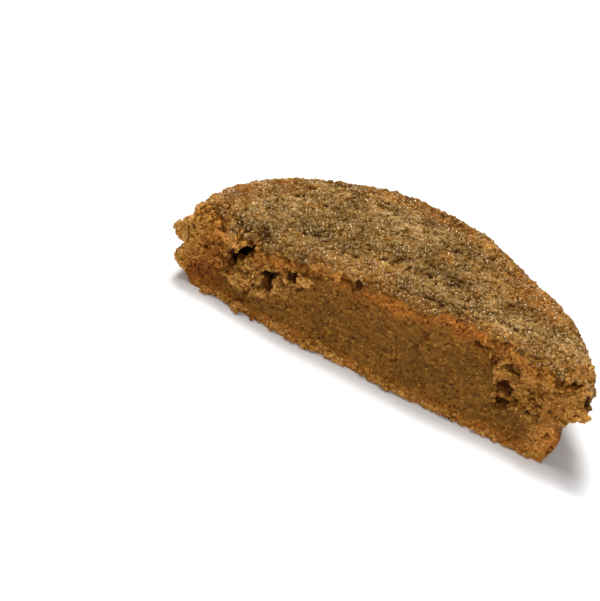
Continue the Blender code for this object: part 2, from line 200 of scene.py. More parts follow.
def crust_roll(x):
    """Radius of the crust's roll over the top edge of the cut: larger at the left end."""
    return CRUST_ROLL + (CRUST_ROLL_LEFT - CRUST_ROLL) * smooth(-14.0, -28.0, x)


def thickness(x, y):
    """Height of the top: domed by the square of the radius, thicker to the right, sagging."""
    radius = np.hypot(x, y)
    dome = (MIDDLE_THICKNESS - RIM_THICKNESS) * (1.0 - np.clip(radius / LIP_RADIUS, 0, 1) ** 2)
    sag = SAG_OF_RIM * bump(np.arctan2(y, x), FLAT_AT, FLAT_SPREAD) * smooth(11.0, 37.0, radius)
    return (RIM_THICKNESS + dome) * (1.0 + THICKER_TO_RIGHT * x / LIP_RADIUS - sag)


def wall_profile(share):
    """Radius and height up the wall: a quarter oval, a neck and another quarter oval."""
    turn = np.pi / 2 * np.clip(share / FOOT_SHARE, 0.0, 1.0)
    radius = BASE_RADIUS + (FOOT_RADIUS - BASE_RADIUS) * np.sin(turn)
    height = FOOT_FULLEST * (1.0 - np.cos(turn))
    to_neck = np.clip((share - FOOT_SHARE) / (NECK_SHARE - FOOT_SHARE), 0.0, 1.0)
    radius = radius + (NECK_RADIUS - FOOT_RADIUS) * smooth(FOOT_SHARE, NECK_SHARE, share)
    height = height + (NECK_HEIGHT - FOOT_FULLEST) * to_neck
    turn = np.pi / 2 * np.clip((share - NECK_SHARE) / (1.0 - NECK_SHARE), 0.0, 1.0)
    radius = radius + (LIP_RADIUS - NECK_RADIUS) * np.sin(turn)
    height = height + (LIP_FULLEST - NECK_HEIGHT) * (1.0 - np.cos(turn))
    return radius, height


def overflow(turn, height):
    """How far the risen lip hangs out over the foot near the left end, at low heights."""
    near_left = smooth(math.radians(150), math.radians(174), turn)
    return OVERFLOW * near_left * smooth(1.0, 4.0, height) * smooth(13.0, 9.5, height)


def rim_reach(radius, turn, height):
    """Radius of the rim at an angle and height: the wall's own by its share of round.

    The lip's overflow comes on top, and its dent behind the right end goes off.
    """
    upward = 0.5 + 0.5 * smooth(3.8, LIP_FULLEST, height)
    dent = DENT * bump(turn, DENT_AT, DENT_SPREAD) * smooth(6.0, 10.0, height)
    return radius * (1.0 + (rim_share(turn) - 1.0) * upward) + overflow(turn, height) - dent


def drawn_up(height, top, lift):
    """A wall's height in scale with the top above it, drawn up to that top by a share."""
    scaled = height * (top / RIM_THICKNESS)
    return scaled + (top - scaled) * lift


def ring(radius, height, over, climb):
    """One ring of the surface: round the rim from right to left, then back along the cut.

    over is the turn over the top edge, 0 on the wall and a right angle where the top begins.
    On the rim the shoulder is a quarter oval, on the cut the crust's roll is a quarter circle,
    and climb is the share of the way up the cut, in even steps.
    """
    pulled = radius - SHOULDER * (1.0 - math.cos(over))
    lift = math.sin(over)
    ends = []
    for side, turn in ((1.0, 0.0), (-1.0, math.pi)):
        reach = float(rim_reach(pulled, turn, height))
        front = cut_line(side * reach, height) + crust_roll(side * reach) * (1.0 - math.cos(over))
        ends.append((side * reach, float(front)))
    right, left = ends
    start, short_of_left = math.asin(right[1] / right[0]), math.asin(left[1] / -left[0])
    finish = math.pi - short_of_left
    turn = start + (finish - start) * np.arange(ROUND_COLUMNS) / ROUND_COLUMNS
    reach = rim_reach(pulled, turn, height)
    rim_x, rim_y = reach * np.cos(turn), reach * np.sin(turn)
    rim_z = drawn_up(height, thickness(rim_x, rim_y), lift)
    share = np.arange(CUT_COLUMNS) / CUT_COLUMNS
    cut_x = left[0] * math.cos(short_of_left) * (1.0 - share)
    cut_x = cut_x + right[0] * math.cos(start) * share
    top, roll = thickness(cut_x, TOP_BEHIND_CUT), crust_roll(cut_x)
    end_z = drawn_up(height, top, lift)
    middle_z = climb * (top - roll) + roll * lift
    inner = smooth(0.0, END_BLEND, cut_x - cut_x[0]) * smooth(0.0, END_BLEND, right[0] - cut_x)
    cut_z = end_z + (middle_z - end_z) * inner
    cut_y = cut_line(cut_x, cut_z) + roll * (1.0 - math.cos(over))
    x = np.concatenate([rim_x, cut_x])
    y = np.concatenate([rim_y, cut_y])
    z = np.concatenate([rim_z, cut_z])
    return np.stack([x, y, z], axis=-1)


def body_rings():
    """Rows of points from the base's middle, up the wall and over the edge to the top's middle."""
    rows = []
    foot = ring(BASE_RADIUS, 0.0, 0.0, 0.0)
    middle = np.array([MIDDLE_OF_TOP[0], MIDDLE_OF_TOP[1], 0.0])
    for row in range(1, BASE_ROWS):
        rows.append(middle + (foot - middle) * (row / BASE_ROWS))
        rows[-1][:, 2] = 0.0
    for row in range(WALL_ROWS):
        climb = row / (WALL_ROWS - 1)
        radius, height = wall_profile(climb)
        rows.append(ring(float(radius), float(height), 0.0, climb))
    for row in range(1, ROLL_ROWS + 1):
        rows.append(ring(LIP_RADIUS, LIP_FULLEST, math.pi / 2 * row / ROLL_ROWS, 1.0))
    edge = rows[-1].copy()
    for row in range(1, TOP_ROWS):
        share = 1.0 - row / TOP_ROWS
        inner = middle + (edge - middle) * share
        level = thickness(inner[:, 0], inner[:, 1])
        left = edge[:, 2] - thickness(edge[:, 0], edge[:, 1])
        inner[:, 2] = level + left * smooth(0.6, 1.0, share)
        rows.append(inner)
    return np.array(rows)


def grid_normals(rows):
    """Outward directions: across the ring times up the rows, made one long."""
    across = np.roll(rows, -1, axis=1) - np.roll(rows, 1, axis=1)
    up = np.gradient(rows, axis=0)
    normal = np.cross(across, up)
    return normal / np.maximum(np.linalg.norm(normal, axis=-1, keepdims=True), 1e-9)


WALL_STEPS = 80
WALL_RADII, WALL_HEIGHTS = wall_profile(np.linspace(0.0, 1.0, WALL_STEPS))


def depths(points):
    """Depths of points behind the cut, the rim and the top, and under the rounded whole, in mm."""
    x, y, z = points[..., 0], points[..., 1], points[..., 2]
    top = thickness(x, y)
    height = z / (top / RIM_THICKNESS)
    over = np.clip((height - LIP_FULLEST) / (RIM_THICKNESS - LIP_FULLEST), 0.0, 1.0)
    pulled = SHOULDER * (1.0 - np.sqrt(1.0 - over ** 2))
    radius = np.interp(height, WALL_HEIGHTS, WALL_RADII) - pulled
    turn = np.arctan2(np.maximum(y, 0.0), x)
    rim = rim_reach(radius, turn, height) - np.hypot(x, y)
    cut = y - cut_line(x, z)
    under = top - z
    roll = crust_roll(x)
    rounded = roll - np.hypot(np.maximum(roll - cut, 0.0), np.maximum(roll - under, 0.0))
    whole = np.where((cut < roll) & (under < roll), rounded, np.minimum(cut, under))
    return cut, rim, under, np.minimum(whole, rim)


def torn_share(points):
    """Where the cut is torn: above a floor that runs along it, within a few mm behind it."""
    x, y, z = points[..., 0], points[..., 1], points[..., 2]
    stray = 1.3 * clouds(points, 3.4, 11, 3)
    floor_x, floor_z = np.array(TORN_FLOOR).T
    above = z + stray - np.interp(x + 1.6 * clouds(points, 3.0, 17, 3), floor_x, floor_z)
    return smooth(-0.8, 1.6, above) * smooth(7.5, 5.5, y + stray) * smooth(0.2, 0.9, z)


def hollow_depth(points):
    """Depth of the torn hollows: each a leaning oval with a ragged edge, steep at its rim."""
    depth = np.zeros(points.shape[:-1])
    front = points[..., 1] < HOLLOWS_END
    near = points[front]
    x, z = (near + 0.9 * strays(near, 1.3, 21) + 0.5 * strays(near, 0.6, 27)).T[[0, 2]]
    deepest = np.zeros_like(x)
    for at_x, at_z, half_length, half_width, deep, lean in HOLLOWS:
        turn = math.radians(lean)
        along = (x - at_x) * math.cos(turn) + (z - at_z) * math.sin(turn)
        across = (z - at_z) * math.cos(turn) - (x - at_x) * math.sin(turn)
        reach = np.hypot(along / half_length, across / half_width)
        deepest = np.maximum(deepest, deep * smooth(1.07, 0.90, reach))
    depth[front] = deepest * smooth(HOLLOWS_END, 7.0, near[:, 1])
    return depth


def sugar_share(points):
    """How far above the crust's lower edge each place is, in mm, and how sugared, from 0 to 1."""
    x, y, z = points[..., 0], points[..., 1], points[..., 2]
    edge_x, edge_z = np.array(CRUST_EDGE).T
    above = z + CRUST_TILT * y - np.interp(x, edge_x, edge_z) + 1.1 * clouds(points, 2.6, 5, 3)
    return above, smooth(-0.8, 1.2, above) * smooth(7.8, 9.6, z + clouds(points, 3.0, 9, 2))


def patch_share(bent, patches):
    """The strongest at each place of some patches, each a bump of the distance from its middle."""
    share = np.zeros(bent.shape[:-1])
    for at_x, at_y, radius, amount in patches:
        away = np.hypot(bent[..., 0] - at_x, bent[..., 1] - at_y)
        share = np.maximum(share, amount * bump(away, 0.0, radius))
    return share


def tones(points):
    """How sugared, how browned and how pale each place of the surface is, all from 0 to 1.

    Each share is an even S or a bump of a place's distance, in mm.  The strongest holds on bare
    dough, and on the crust they add up.
    """
    x, y, z = points[..., 0], points[..., 1], points[..., 2]
    cut, rim = depths(points)[:2]
    above, sugared = sugar_share(points)
    bent = points + 2.5 * strays(points, 3.5, 41)
    patchy = 0.5 + 0.9 * clouds(points, 6.0, 13, 2)

    # the bare dough browned in a band just under the crust, at the base, at both ends and on
    # the rim, apart from the rim's two torn corners
    band = bump(above, -1.6, 1.5) * (0.55 + patchy * 0.5)
    base = smooth(3.0, 0.6, z + 0.6 * clouds(points, 3.0, 15, 2)) * 0.9
    left = 0.75 * smooth(-26.0, -31.0, x) * smooth(-36.2, -34.4, x)
    right = smooth(28.0, 34.0, x) * (0.55 + 0.30 * smooth(8.0, 6.0, z))
    ends = np.maximum(left, right) * smooth(9.0, 4.0, y)
    torn_corners = smooth(7.0, 4.0, y) * smooth(33.0, 34.5, np.abs(x))
    on_rim = smooth(0.8, -0.8, rim - cut) * (1.0 - torn_corners)
    bare = np.clip(np.maximum(np.maximum(band, base), np.maximum(ends, on_rim)), 0.0, 1.0)

    # the crust browned near the rim, on the crest over the cut, at the left end and in spots
    rim_back = smooth(6.5, 1.5, rim) * smooth(0.1, 0.9, patchy)
    crest = bump(above, 0.8, 1.6) * smooth(10.0, 4.0, y)
    left_end = smooth(-28.0, -33.0, x) * smooth(14.0, 5.0, y)
    spots = smooth(0.45, 0.75, clouds(points, 3.6, 19, 2))
    crusty = 0.7 * rim_back + 0.5 * crest + 0.8 * left_end + 0.4 * spots
    crusty = np.clip(crusty + patch_share(bent, BROWNED_PATCHES), 0.0, 1.0)
    pale = patch_share(bent, PALE_PATCHES) - patch_share(bent, DARK_PATCHES)
    frosted = np.clip(0.5 + 0.5 * pale + 0.33 * clouds(points, 6.0, 43, 2), 0.0, 1.0)
    return sugared, bare + (crusty - bare) * sugared, frosted


def knobs(points, size, salt, dome, ledge):
    """Relief of clumps: a dome over each seed, each clump raised or sunk by its own number."""
    nearest, own = clumps(points, size, salt)
    return dome * (0.42 - nearest ** 2) + ledge * (own - 0.5), own


def pores(points, size, salt, scarce, rim, middle):
    """Round pits at the seeds whose number passes scarce, 1 in the middle and 0 past the rim."""
    nearest, own = clumps(points, size, salt)
    return np.where(own > scarce, smooth(rim, middle, nearest), 0.0)


rows = body_rings()
outward = grid_normals(rows)
over = np.concatenate([np.full(BASE_ROWS - 1, -1.0), np.zeros(WALL_ROWS),
                       np.arange(1, ROLL_ROWS + 1) / ROLL_ROWS, np.ones(TOP_ROWS - 1)]) * math.pi / 2
off_cut = np.stack([np.zeros_like(over), -np.cos(over), np.sin(over)], axis=-1)
outward[:, ROUND_COLUMNS:] = off_cut[:, None]
sugared, browned, frosted = tones(rows)
torn = torn_share(rows)
hollow = hollow_depth(rows)
level = rows[..., 2]
off_base = smooth(0.0, 1.6, level)
on_cut = np.broadcast_to(np.arange(rows.shape[1]) >= ROUND_COLUMNS, level.shape)
foot = np.where(on_cut, 0.0, 1.0) * smooth(8.4, 6.8, level)

bent = rows + 0.3 * strays(rows, 1.2, 31)
close_swell = 0.22 * clouds(rows, 3.0, 91, 2)
close_grain = knobs(bent, 1.1, 61, 0.12, 0.10)[0] + knobs(bent, 0.45, 71, 0.14, 0.16)[0]
pore = np.maximum(pores(bent, 0.8, 97, 0.60, 0.34, 0.16), pores(bent, 2.1, 103, 0.75, 0.20, 0.10))
pore = pore * (1.0 - sugared) * np.where(on_cut, 1.0, 0.35) * off_base

under_crags = smooth(0.50, 0.90, torn)
under_crust = smooth(0.40, 0.85, sugared)
hidden = np.maximum(under_crags, under_crust)
relief = off_base * np.where(on_cut, 1.0, 0.4) * (close_swell + close_grain) - 0.4 * pore
recess = np.maximum(UNDER_CRAGS * under_crags, UNDER_CRUST * under_crust)
recess = np.maximum(recess, np.where(on_cut, hollow + 1.5 * under_crags, 0.0))
relief = relief * (1.0 - 0.7 * hidden) - recess * off_base
relief = np.where(level > 0.0, relief, 0.0)
surface = rows + outward * relief[..., None]
surface[..., 2] = np.maximum(surface[..., 2], 0.0)
corner = np.where(on_cut, smooth(28.0, 34.0, rows[..., 0]), 0.0)


def painted_shade_under_lip(points):
    """Where painted shade darkens the torn left end, which lies back under its lip."""
    x, z = points[..., 0], points[..., 2]
    return smooth(-26.0, -29.5, x) * smooth(-35.4, -33.8, x) * smooth(11.0, 8.0, z)


# painted shade on the foot wall right of the middle, and on a sliver of the cut at the right foot
# corner, as on a corner turned from the light
painted_foot_shade = np.where(on_cut, smooth(1.3, 0.6, depths(rows)[1]), foot)
painted_foot_shade = painted_foot_shade * smooth(0.0, 10.0, rows[..., 0])
to_left = np.where(on_cut, smooth(-12.0, -22.0, rows[..., 0]), 0.0)
to_base = np.where(on_cut, smooth(2.4, 0.9, level), 0.0)
# painted light and shade of the half, read by the material's shade ramp: raised grain lighter and
# pores darker, painted shade under the left lip and on the foot, a little darker towards the left of
# the cut and lighter along the base; the foot corner is brighter, partly its own bright colour and
# partly painted light
close_painted_shade = (0.55 + 1.2 * close_grain - 0.40 * pore + 0.45 * corner * (1.0 - painted_foot_shade)
                - 0.26 * painted_shade_under_lip(rows) - 0.22 * painted_foot_shade - 0.07 * to_left + 0.40 * to_base)


def with_poles(values):
    """The grid's numbers as one list, with the mean of the end rows at the two poles."""
    return np.concatenate([values.ravel(), [values[0].mean(), values[-1].mean()]])


def ring_faces(row_count, column_count):
    """Quads between rings, the last column joined to the first, and a fan at each pole."""
    here = np.arange(column_count)
    after = (here + 1) % column_count
    below = np.arange(row_count - 1)[:, None] * column_count
    quads = np.stack([below + here, below + after, below + column_count + after,
                      below + column_count + here], axis=-1).reshape(-1, 4)
    last = (row_count - 1) * column_count
    low_pole = np.full(column_count, row_count * column_count)
    fans = np.concatenate([np.stack([low_pole, after, here], axis=-1),
                           np.stack([low_pole + 1, last + here, last + after], axis=-1)])
    return quads, fans


def new_piece(name, points, quads, triangles, soft=True):
    """A mesh object at the origin from points in mm about the turning axis."""
    mesh = bpy.data.meshes.new(name)
    placed = (points + np.array([AXIS[0], AXIS[1], 0.0])) * MM
    mesh.vertices.add(len(placed))
    mesh.vertices.foreach_set('co', placed.astype(np.float32).ravel())
    corners = np.concatenate([quads.ravel(), triangles.ravel()]).astype(np.int32)
    starts = np.concatenate([4 * np.arange(len(quads)),
                             4 * len(quads) + 3 * np.arange(len(triangles))])
    mesh.loops.add(len(corners))
    mesh.loops.foreach_set('vertex_index', corners)
    mesh.polygons.add(len(starts))
    mesh.polygons.foreach_set('loop_start', starts.astype(np.int32))
    mesh.update(calc_edges=True)
    mesh.validate()
    if soft:
        mesh.shade_smooth()
    piece = bpy.data.objects.new(name, mesh)
    bpy.context.scene.collection.objects.link(piece)
    return piece


def paint(piece, name, values):
    """Keeps one number a point on the piece, for its material."""
    layer = piece.data.attributes.new(name, 'FLOAT', 'POINT')
    layer.data.foreach_set('value', np.asarray(values).astype(np.float32))


def painted_gap_shade_share(depth):
    """Painted shade in a gap at a depth: four fifths by 1.9 mm, the rest where it goes past 4 mm."""
    return 0.8 * smooth(0.8, 1.9, depth) + 0.2 * smooth(3.6, 4.6, depth)


middle_low = np.array([MIDDLE_OF_TOP[0], MIDDLE_OF_TOP[1], 0.0])
middle_high = np.array([MIDDLE_OF_TOP[0], MIDDLE_OF_TOP[1], surface[-1, :, 2].mean()])
skin_points = np.concatenate([surface.reshape(-1, 3), middle_low[None], middle_high[None]])
quads, fans = ring_faces(*rows.shape[:2])
baked_half = new_piece('baked_half', skin_points, quads, fans)
paint(baked_half, 'sugared', with_poles(sugared))
paint(baked_half, 'browned', with_poles(browned))
paint(baked_half, 'frosted', with_poles(frosted))
paint(baked_half, 'golden', with_poles(corner))
paint(baked_half, 'painted_gap_shade', with_poles(painted_gap_shade_share(np.where(on_cut, recess + 0.6, 0.0))))
paint(baked_half, 'height', with_poles(close_painted_shade))
paint(baked_half, 'clump', with_poles(np.full_like(level, 0.5)))


class Mixer:
    """Short names for the shader nodes of one material."""

    def __init__(self, name):
        self.material = bpy.data.materials.new(name)
        self.material.use_nodes = True
        self.nodes = self.material.node_tree.nodes
        self.links = self.material.node_tree.links
        self.shader = self.nodes['Principled BSDF']

    def set(self, socket, value):
        """Gives a socket a link, a number or a colour."""
        if isinstance(value, bpy.types.NodeSocket):
            self.links.new(value, socket)
        elif isinstance(value, tuple):
            socket.default_value = (*value, 1.0) if len(value) == 3 else value
        else:
            socket.default_value = value

    def attribute(self, name):
        """The number painted on the piece under a name."""
        node = self.nodes.new('ShaderNodeAttribute')
        node.attribute_name = name
        return node.outputs['Fac']

    def place(self):
        """Object coordinates."""
        return self.nodes.new('ShaderNodeTexCoord').outputs['Object']

    def noise(self, per_metre, detail=3.0, rough=0.6, drawn_out=1.0):
        """Soft noise of so many swells along a metre, drawn out along X by a factor."""
        node = self.nodes.new('ShaderNodeTexNoise')
        node.inputs['Scale'].default_value = per_metre
        node.inputs['Detail'].default_value = detail
        node.inputs['Roughness'].default_value = rough
        scaled = self.nodes.new('ShaderNodeVectorMath')
        scaled.operation = 'MULTIPLY'
        scaled.inputs[1].default_value = (1.0 / drawn_out, 1.0, 1.0)
        self.links.new(self.place(), scaled.inputs[0])
        self.links.new(scaled.outputs['Vector'], node.inputs['Vector'])
        return node.outputs['Fac']

    def grains(self, per_metre, output='Color'):
        """Cells of a Voronoi pattern, one to a grain."""
        node = self.nodes.new('ShaderNodeTexVoronoi')
        node.inputs['Scale'].default_value = per_metre
        self.links.new(self.place(), node.inputs['Vector'])
        return node.outputs[output]

    def ramp(self, value, *stops):
        """Colours or greys along a value, as (place, colour or grey) stops."""
        node = self.nodes.new('ShaderNodeValToRGB')
        band = node.color_ramp.elements
        for index, (place, tone) in enumerate(stops):
            stop = band[index] if index < 2 else band.new(place)
            stop.position = place
            stop.color = (*tone, 1.0) if isinstance(tone, tuple) else (tone, tone, tone, 1.0)
        self.links.new(value, node.inputs['Fac'])
        return node.outputs['Color']

    def mix(self, share, first, second, way='MIX'):
        """Two colours mixed by a share, which may be a number or an output."""
        node = self.nodes.new('ShaderNodeMix')
        node.data_type = 'RGBA'
        node.blend_type = way
        self.set(node.inputs[0], share)
        self.set(node.inputs[6], first)
        self.set(node.inputs[7], second)
        return node.outputs[2]

    def sum(self, first, second, way='ADD'):
        """Two numbers put together."""
        node = self.nodes.new('ShaderNodeMath')
        node.operation = way
        self.set(node.inputs[0], first)
        self.set(node.inputs[1], second)
        return node.outputs[0]

    def blend(self, first, share, second):
        """Two numbers weighed by a share of the first."""
        return self.sum(self.sum(first, share, 'MULTIPLY'), self.sum(second, 1.0 - share, 'MULTIPLY'))

    def relief(self, height, distance, strength, under=None):
        """A bump from a height, over another bump if there is one."""
        node = self.nodes.new('ShaderNodeBump')
        node.inputs['Distance'].default_value = distance
        node.inputs['Strength'].default_value = strength
        self.links.new(height, node.inputs['Height'])
        if under is not None:
            self.links.new(under, node.inputs['Normal'])
        return node.outputs['Normal']

    def shaded(self, colour, by):
        """A colour times another."""
        return self.mix(1.0, colour, by, 'MULTIPLY')

    def crust_tone(self, own):
        """Grey-olive sugared crust with patches of brown, lighter or darker by a grain's number."""
        grey = self.ramp(own, (0.0, (0.074, 0.030, 0.003)), (0.5, (0.164, 0.079, 0.012)),
                         (1.0, (0.370, 0.215, 0.066)))
        orange = self.ramp(own, (0.0, (0.095, 0.028, 0.002)), (0.5, (0.222, 0.078, 0.007)),
                           (1.0, (0.410, 0.178, 0.032)))
        share = self.ramp(self.noise(330.0), (0.53, 0.0), (0.66, 0.55))
        share = self.mix(1.0, share, self.attribute('browned'), 'LIGHTEN')
        blotch = self.ramp(self.noise(230.0, 4.0), (0.36, (0.60, 0.55, 0.49)),
                           (0.62, (1.18, 1.19, 1.26)))
        thick = self.ramp(self.attribute('frosted'), (0.0, (0.42, 0.36, 0.23)),
                          (0.5, (0.90, 0.89, 0.86)), (1.0, (1.50, 1.70, 2.34)))
        return self.shaded(self.shaded(self.mix(share, grey, orange), blotch), thick)

    def finish(self, colour, rough, gloss, tint, soaked, radius, scale):
        """The shader's colour, roughness and tinted gloss, and how light soaks into it."""
        self.set(self.shader.inputs['Base Color'], colour)
        self.set(self.shader.inputs['Roughness'], rough)
        self.shader.inputs['Specular IOR Level'].default_value = gloss
        self.shader.inputs['Specular Tint'].default_value = (*tint, 1.0)
        self.shader.inputs['Subsurface Weight'].default_value = soaked
        self.shader.inputs['Subsurface Radius'].default_value = radius
        self.shader.inputs['Subsurface Scale'].default_value = scale
        return self.material


def baked_material():
    """Olive-brown crumb that turns orange-brown where it browned, and grey-tan where sugared."""
    m = Mixer('baked_crumb')
    broad = m.noise(170.0)
    fine = m.noise(1700.0, 3.0, 0.7)
    both = m.blend(broad, 0.4, fine)
    crumb = m.ramp(both, (0.36, (0.134, 0.052, 0.006)), (0.64, (0.236, 0.103, 0.013)))
    brown = m.ramp(both, (0.34, (0.212, 0.063, 0.006)), (0.66, (0.448, 0.160, 0.021)))
    golden = m.ramp(both, (0.34, (0.300, 0.125, 0.018)), (0.66, (0.570, 0.274, 0.066)))
    colour = m.mix(m.attribute('golden'), crumb, golden)
    colour = m.mix(m.attribute('browned'), colour, brown)
    streak = m.ramp(m.noise(1500.0, 2.0, drawn_out=4.0), (0.38, (0.80, 0.76, 0.70)),
                    (0.60, (1.08, 1.08, 1.12)))
    # specks of the crumb: the bright ones are painted glints, the dark ones painted shade in pores
    painted_glint_and_pore_shade = m.ramp(m.grains(2900.0), (0.08, (0.38, 0.30, 0.20)), (0.18, (0.78, 0.75, 0.71)),
                   (0.76, 1.20), (0.90, (1.75, 1.98, 2.70)))
    colour = m.shaded(m.shaded(colour, streak), painted_glint_and_pore_shade)
    crust = m.crust_tone(m.blend(m.attribute('clump'), 0.6, m.grains(2300.0)))
    colour = m.mix(m.attribute('sugared'), colour, crust)
    # painted light and shade: the 'height' number darkens low places and lightens high ones
    shade = m.ramp(m.attribute('height'), (0.0, (0.26, 0.15, 0.09)), (0.35, (0.72, 0.61, 0.50)),
                   (0.6, 1.0), (1.0, (1.26, 1.34, 1.60)))
    # painted shade: gaps and hollows darken to a deep red-brown by depth, and to near black in the
    # deepest
    painted_gap_shade = m.attribute('painted_gap_shade')
    dark = m.ramp(painted_gap_shade, (0.8, (0.115, 0.030, 0.006)), (1.0, (0.005, 0.002, 0.001)))
    swell = m.relief(fine, 0.3 * MM, 0.6)
    m.set(m.shader.inputs['Normal'], m.relief(m.grains(2400.0, 'Distance'), 0.2 * MM, 0.75, swell))
    return m.finish(m.mix(painted_gap_shade, m.shaded(colour, shade), dark), m.ramp(fine, (0.3, 0.55), (0.7, 0.80)),
                    0.16, (1.0, 0.82, 0.58), 0.12, (1.0, 0.45, 0.15), 1.0 * MM)


baked_half.data.materials.append(baked_material())
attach(baked_half, 'root')
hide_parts('cookie_half')

# ---------------------------------------------------------------------------------------
# Crust and crags: the lumpy sugared top with its lip, the crumb that the tear left standing
# in ragged ledges at the upper left of the cut and at its right end, and the jagged lower
# edge of the cut.  They are the same baked dough as the half and grow out of it.
# ---------------------------------------------------------------------------------------
CRUST_STEP = 0.25                # sides of the cells in which crust and crags are worked out, in mm
CRAG_STEP = 0.2
CRUST_DEPTH = 3.0                # how far the backs of crust and crags lie under the smooth surface
CRAG_DEPTH = 3.4
OUTSIDE = -3.0                   # the depth given to places well outside crust or crags
MOST_RELIEF = 2.4                # no relief stands out further than this, in mm
LOOSE_SCRAP = 60                 # a part of fewer points than this is a loose scrap
EDGE_SCRAP = 40
EDGE_LEVEL = 0.6                 # height at which the lower edge follows the cut
OFF_FLOOR = 0.02                 # how far crumbs and the lower edge keep off the floor
NO_TRIANGLES = np.zeros((0, 3), int)

# larger lumps on the lower edge, as x, how far behind the cut, height and radius
EDGE_LUMPS = ((-23.4, -0.2, 1.0, 1.2), (5.2, -0.3, 0.8, 0.9),
              (13.9, -0.1, 0.7, 0.5), (25.4, -0.1, 0.6, 0.5))


def skin_of(depth, low, step):
    """Quads round the places where a field of depths is above zero, and their points.

    Each cell that the surface crosses gets one point, the mean of the places where its edges
    cross zero, and each crossed edge of the field gets one quad through its four cells.
    """
    cells = tuple(count - 1 for count in depth.shape)
    total = np.zeros((*cells, 3))
    hits = np.zeros(cells)
    edges = []
    for axis in range(3):
        side, third = (axis + 1) % 3, (axis + 2) % 3
        turned = np.moveaxis(depth, (axis, side, third), (0, 1, 2))
        near, far = turned[:-1], turned[1:]
        crossed = (near > 0) != (far > 0)
        share = np.where(crossed, near / np.where(crossed, near - far, 1.0), 0.0)
        total_turned = np.moveaxis(total, (axis, side, third), (0, 1, 2))
        hits_turned = np.moveaxis(hits, (axis, side, third), (0, 1, 2))
        for over, up in np.ndindex(2, 2):
            rows_in = slice(over, over + cells[side])
            stack_in = slice(up, up + cells[third])
            part = crossed[:, rows_in, stack_in]
            total_turned[..., axis] += share[:, rows_in, stack_in]
            total_turned[..., side] += over * part
            total_turned[..., third] += up * part
            hits_turned += part
        edges.append((axis, side, third, crossed, near > 0))
    used = hits > 0
    index = np.full(cells, -1)
    index[used] = np.arange(used.sum())
    corner = np.argwhere(used)
    points = low + step * (corner + total[used] / hits[used][:, None])
    quads = []
    for axis, side, third, crossed, solid in edges:
        turned = np.moveaxis(index, (axis, side, third), (0, 1, 2))
        within = crossed[:, 1:-1, 1:-1]
        around = [turned[:, 0:-1, 0:-1][within], turned[:, 1:, 0:-1][within],
                  turned[:, 1:, 1:][within], turned[:, 0:-1, 1:][within]]
        quad = np.stack(around, axis=-1)
        flip = ~solid[:, 1:-1, 1:-1][within]
        quad[flip] = quad[flip][:, ::-1]
        quads.append(quad)
    return points, np.concatenate(quads)


def largest_parts(points, quads, least):
    """Drops parts of fewer points than least, found by passing low numbers along edges."""
    label = np.arange(len(points))
    first = quads.ravel()
    second = np.roll(quads, 1, axis=1).ravel()
    while True:
        lower = np.minimum(label[first], label[second])
        new = label.copy()
        np.minimum.at(new, first, lower)
        np.minimum.at(new, second, lower)
        new = new[new]
        if np.array_equal(new, label):
            break
        label = new
    size = np.bincount(label, minlength=len(points))[label]
    kept = size >= least
    number = np.cumsum(kept) - 1
    return points[kept], number[quads[kept[quads[:, 0]]]]


def field_points(low, high, step):
    """All corners of a box of cubes."""
    lines = [np.arange(start, end + step, step) for start, end in zip(low, high)]
    return np.stack(np.meshgrid(*lines, indexing='ij'), axis=-1)


def closed_skin(depth, low, step, least):
    """The skin of a field that ends at the sides of its box, without its loose scraps."""
    depth[[0, -1]] = depth[:, [0, -1]] = depth[:, :, [0, -1]] = OUTSIDE
    return largest_parts(*skin_of(depth, np.array(low), step), least)


def mixed_tone(large, middle, small):
    """One number from those of the clumps of three sizes."""
    return 0.3 * large + 0.4 * middle + 0.3 * small


def crag_lift(points):
    """How far the torn crumb stands out, its height from 0 to 1, which gives painted light and shade,
    and each clump's own tone.

    Flakes wider than high, chunks and crumbs, each raised or sunk by its own number, with
    ragged gaps where soft noise is high.  The ring at the left end is calmer.
    """
    bent = points + 0.8 * strays(points, 1.1, 131)
    flakes, flake_own = knobs(bent / np.array([1.5, 1.0, 0.85]), 2.1, 141, 0.10, 1.4)
    chunks, chunk_own = knobs(bent / np.array([1.2, 1.0, 0.9]), 1.0, 151, 0.25, 0.7)
    crumbs, crumb_own = knobs(bent, 0.55, 161, 0.18, 0.40)
    gaps = smooth(0.24, 0.29, clouds(bent, 2.3, 171, 3))
    x, z = points[..., 0], points[..., 2]
    calm = smooth(-30.3, -31.8, x) * smooth(-35.4, -34.2, x) * smooth(11.8, 10.0, z)
    on_end = smooth(-33.5, -35.0, x)
    lift = (0.5 * on_end - 0.2 + flakes + chunks - 2.2 * gaps) * (1.0 - 0.85 * calm) + crumbs
    most = np.where(x < -34.5, 0.4 + 0.9 * smooth(6.5, 9.0, z), 1.2)
    tone = mixed_tone(flake_own, chunk_own, crumb_own)
    return np.minimum(lift, most), smooth(-1.8, 0.7, lift), tone


